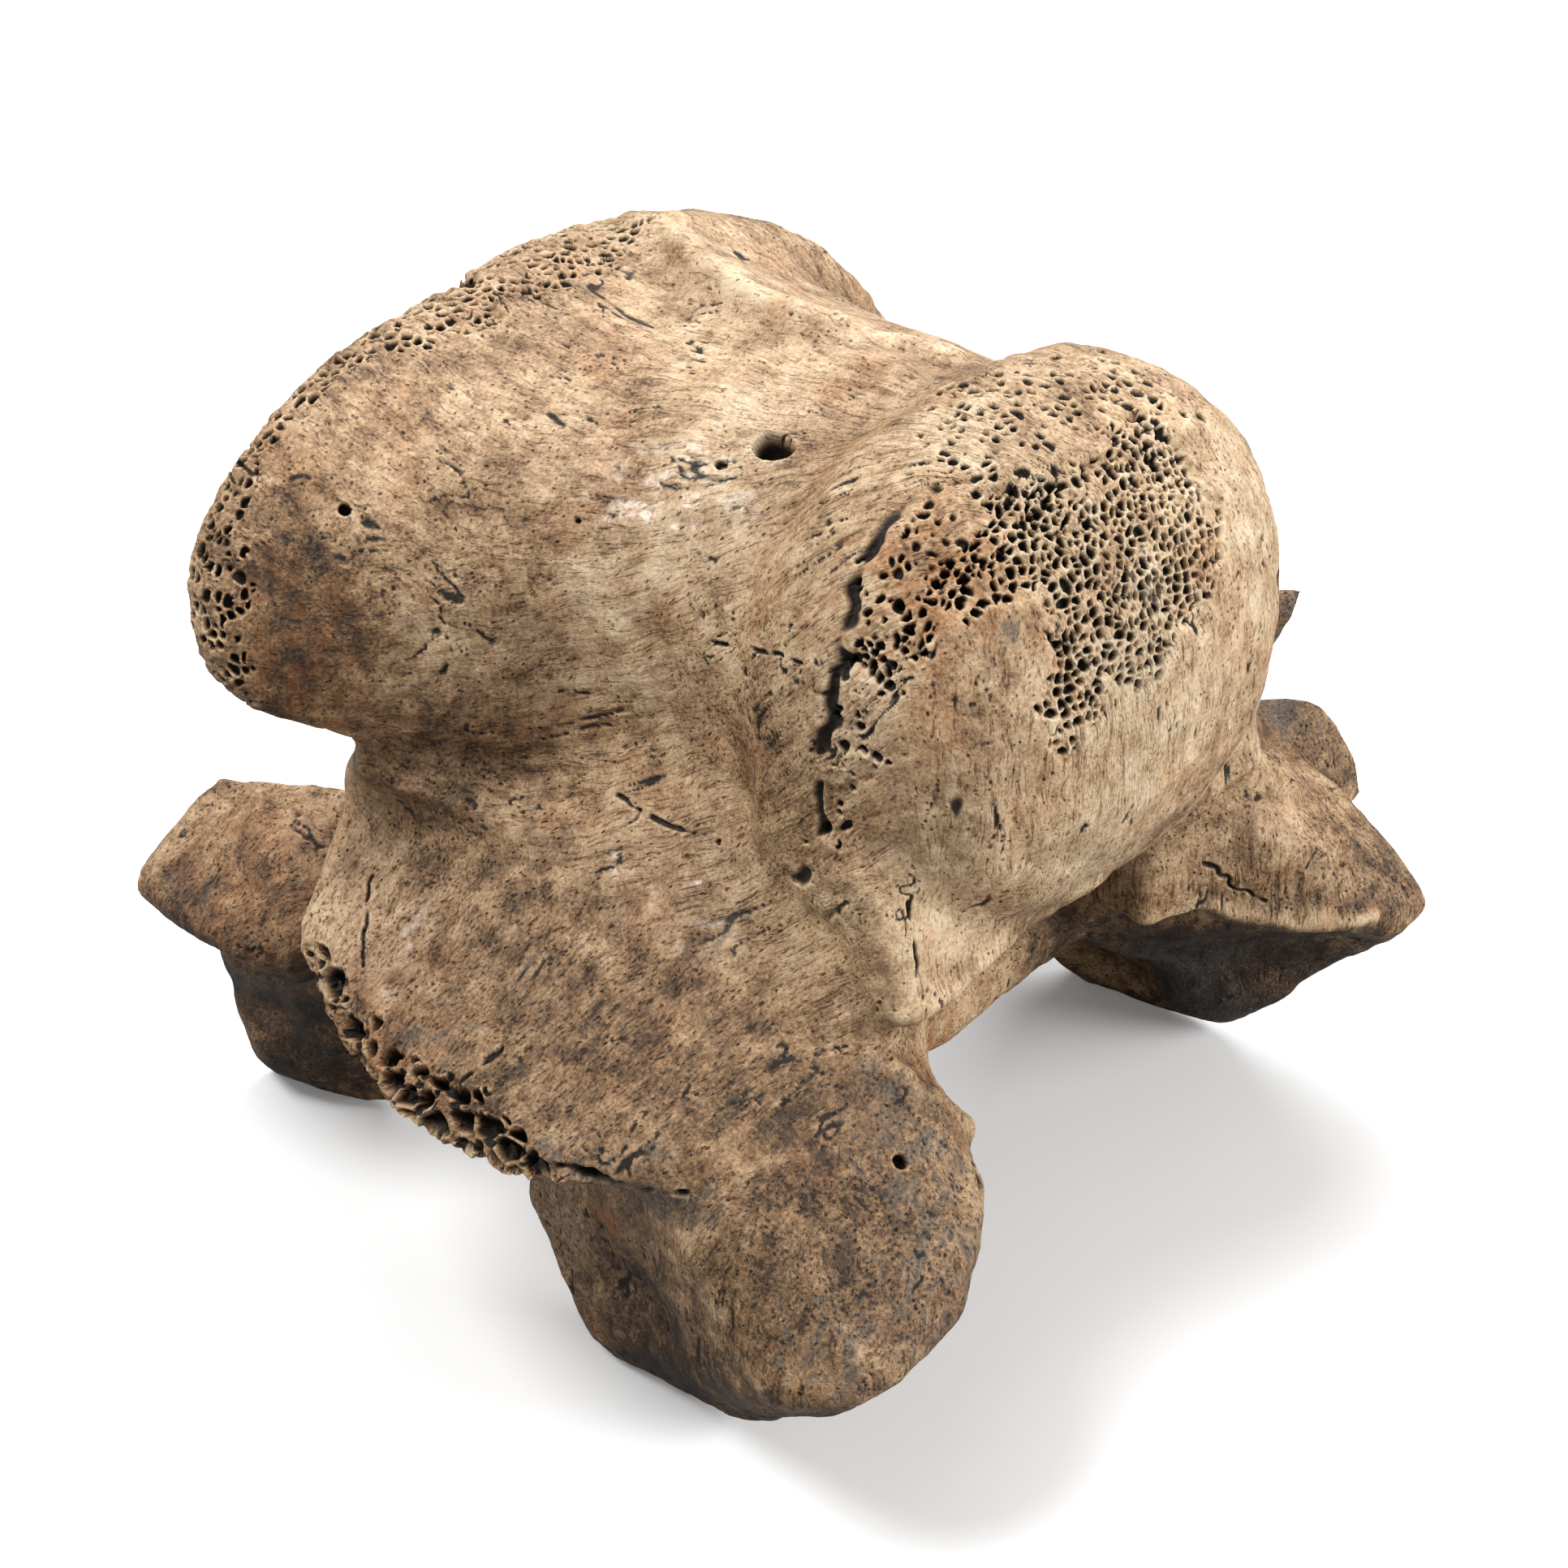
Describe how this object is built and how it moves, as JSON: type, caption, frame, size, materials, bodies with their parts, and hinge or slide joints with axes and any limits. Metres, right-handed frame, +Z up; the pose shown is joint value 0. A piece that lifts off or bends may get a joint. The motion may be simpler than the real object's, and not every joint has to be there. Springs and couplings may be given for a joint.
{
  "type": "fossil bison vertebra",
  "caption": "Heavy neck vertebra of a bison with a rounded head, a wide hollow rim, a keel, a neural canal, broken side plates and joint processes, lying on its arch.",
  "frame": {"origin": "centre of the footprint's bounding box, on the floor that the bone lies on", "axes": "+Z up from the floor, which is towards the belly of the animal; +Y towards its tail; +X towards its right side"},
  "size_m": [0.1372, 0.1292, 0.1145],
  "materials": {
    "pale_bone": "weathered tan bone with a faint sheen and open spongy patches",
    "dark_bone": "dark brown and grey stained bone, rough"
  },
  "bodies": {
    "root": {"cranial_head": "pale_bone", "caudal_rim": "pale_bone", "ventral_crest": "pale_bone", "vertebral_body": "pale_bone", "transverse_process_left": "dark_bone", "transverse_process_right": "dark_bone", "prezygapophysis_left": "dark_bone", "prezygapophysis_right": "dark_bone", "postzygapophysis_left": "dark_bone", "postzygapophysis_right": "dark_bone", "pedicle_left": "dark_bone", "pedicle_right": "dark_bone", "lamina": "dark_bone", "spinous_process": "dark_bone"}
  },
  "joints": []
}
